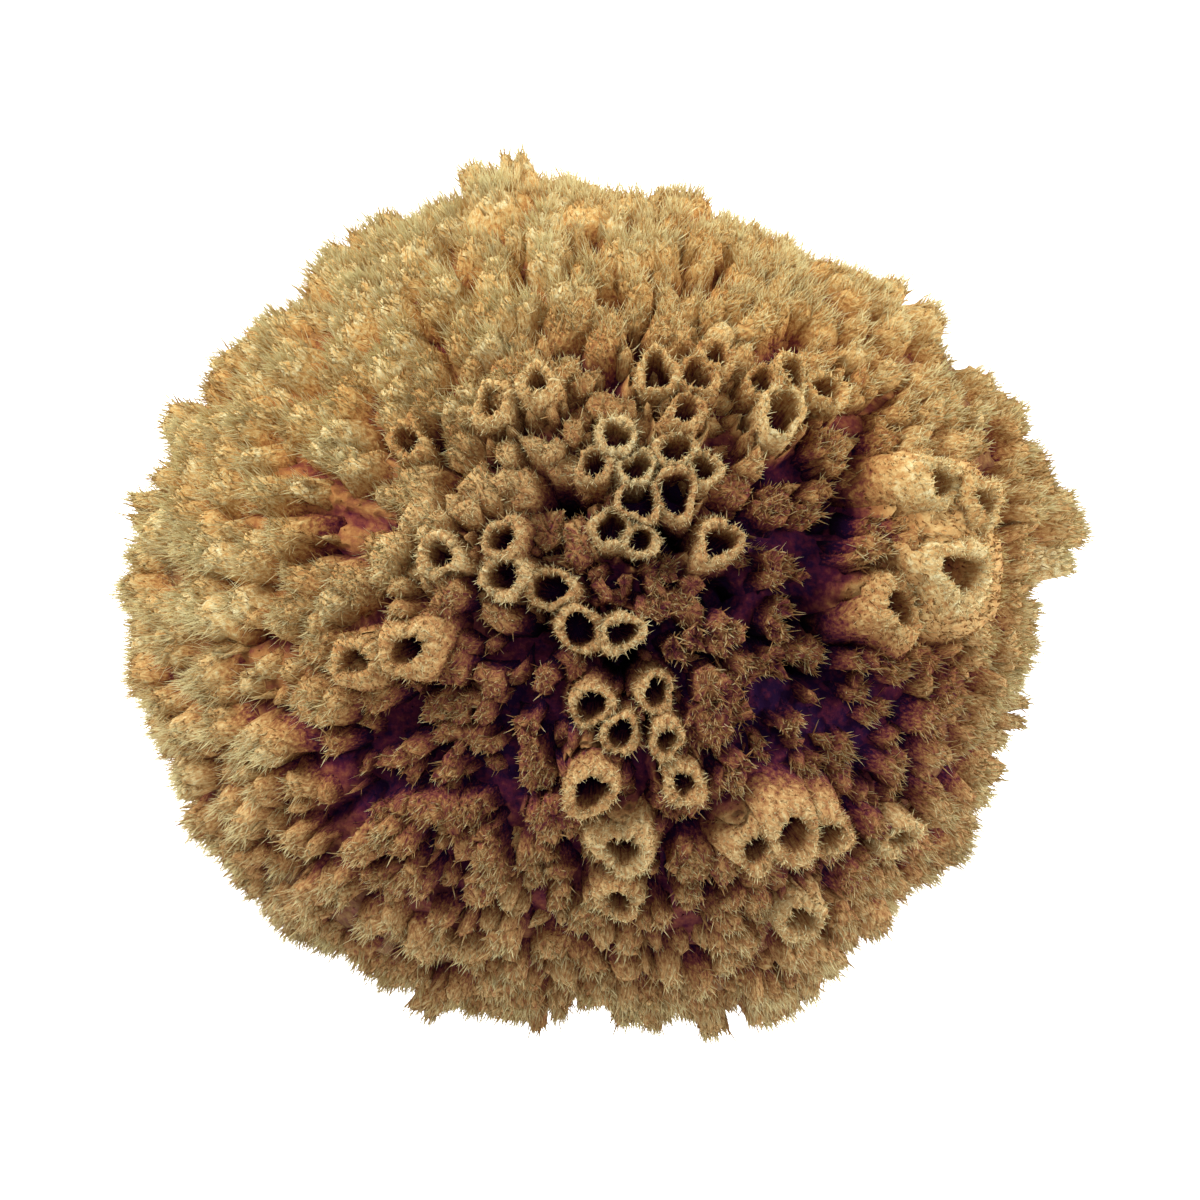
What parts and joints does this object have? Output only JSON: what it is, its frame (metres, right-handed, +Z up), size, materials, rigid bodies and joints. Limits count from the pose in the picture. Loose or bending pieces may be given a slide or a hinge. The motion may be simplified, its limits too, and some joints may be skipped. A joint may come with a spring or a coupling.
{
  "type": "natural sea sponge",
  "caption": "Dried natural wool sponge: a domed, tufted cushion with clusters of open chimneys on top and a flat cut underneath.",
  "frame": {"origin": "on the flat cut underneath, below the middle of the sponge", "axes": "+Z up from the cut through the crown with the chimneys; +X to the right and +Y up the picture when seen from above; X is the longest side"},
  "size_m": [0.1413, 0.1308, 0.0974],
  "materials": {
    "spongin": "matte, fibrous, a little translucent at the tuft tips"
  },
  "bodies": {
    "root": {"sponge": "spongin"}
  },
  "joints": []
}
